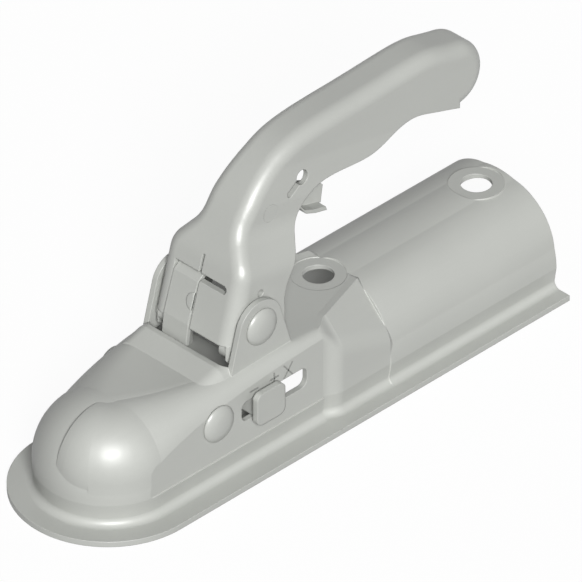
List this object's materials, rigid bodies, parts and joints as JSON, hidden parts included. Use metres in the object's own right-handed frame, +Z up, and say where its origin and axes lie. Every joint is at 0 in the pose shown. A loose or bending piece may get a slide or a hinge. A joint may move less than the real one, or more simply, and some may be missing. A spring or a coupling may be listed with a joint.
{
  "type": "trailer coupling head",
  "caption": "Pressed steel trailer coupling head for a towing ball, with a lifting handle, safety trigger, ball jaw, sprung lock slide and sliding wear indicator; bolts on a round drawbar.",
  "frame": {"origin": "centre of the towing ball in its socket", "axes": "+X forward to the nose, along the drawbar; +Y to the left; +Z up"},
  "size_m": [0.2607, 0.0808, 0.129],
  "materials": {
    "housing": "zinc-plated pressed steel, satin light grey",
    "handle": "zinc-plated pressed steel, satin light grey",
    "rivets": "zinc-plated steel, satin light grey",
    "inner_steel": "zinc-plated steel, matt grey",
    "jaw": "forged steel, matt grey",
    "bush": "sintered bronze, matt",
    "trigger": "zinc-plated pressed steel, satin light grey",
    "indicator": "moulded plastic, light grey",
    "spring_steel": "drawn spring wire, satin"
  },
  "bodies": {
    "base": {"housing_front": "housing", "housing_rear": "housing", "jaw_pivot_rivet": "rivets", "handle_pivot_rivet": "rivets", "jaw_spacer_left": "inner_steel", "jaw_spacer_right": "inner_steel", "slide_rail_left": "inner_steel", "slide_rail_right": "inner_steel", "spring_bracket": "inner_steel", "spring_guide_rod": "inner_steel", "lock_spring": "spring_steel"},
    "handle": {"handle_shell": "handle", "pivot_bush_left": "bush", "pivot_bush_right": "bush", "cam_stud_left": "rivets", "cam_stud_right": "rivets", "trigger_pin": "rivets"},
    "trigger": {"trigger_lever": "trigger", "trigger_spring": "spring_steel"},
    "jaw": {"ball_jaw": "jaw"},
    "slide": {"lock_slide": "inner_steel", "slide_stud": "inner_steel", "indicator_tab": "indicator", "indicator_pin_front": "inner_steel", "indicator_pin_rear": "inner_steel"}
  },
  "joints": [
    {"name": "handle_lift", "type": "hinge", "parent": "base", "child": "handle", "pos_m": [-0.0601, 0, 0.046], "axis": [0, 1, 0], "range_deg": [0, 65]},
    {"name": "trigger_pull", "type": "hinge", "parent": "handle", "child": "trigger", "pos_m": [-0.0786, 0, 0.0846], "axis": [0, 1, 0], "range_deg": [0, 8], "stiffness_Nm_per_rad": 0.6, "springref_deg": -20.05},
    {"name": "jaw_swing", "type": "hinge", "parent": "base", "child": "jaw", "pos_m": [-0.0312, 0, 0.016], "axis": [0, 1, 0], "range_deg": [0, 15]},
    {"name": "indicator_slide", "type": "slide", "parent": "base", "child": "slide", "axis": [-1, 0, 0], "range_m": [0, 0.014], "stiffness_N_per_m": 6300, "springref_m": -0.008, "deforming": ["lock_spring"]}
  ],
  "couplings": [
    {"joint": "jaw_swing", "follows": "handle_lift", "ratio": 0.2307},
    {"joint": "indicator_slide", "follows": "handle_lift", "m_per_rad": 0.01234}
  ]
}
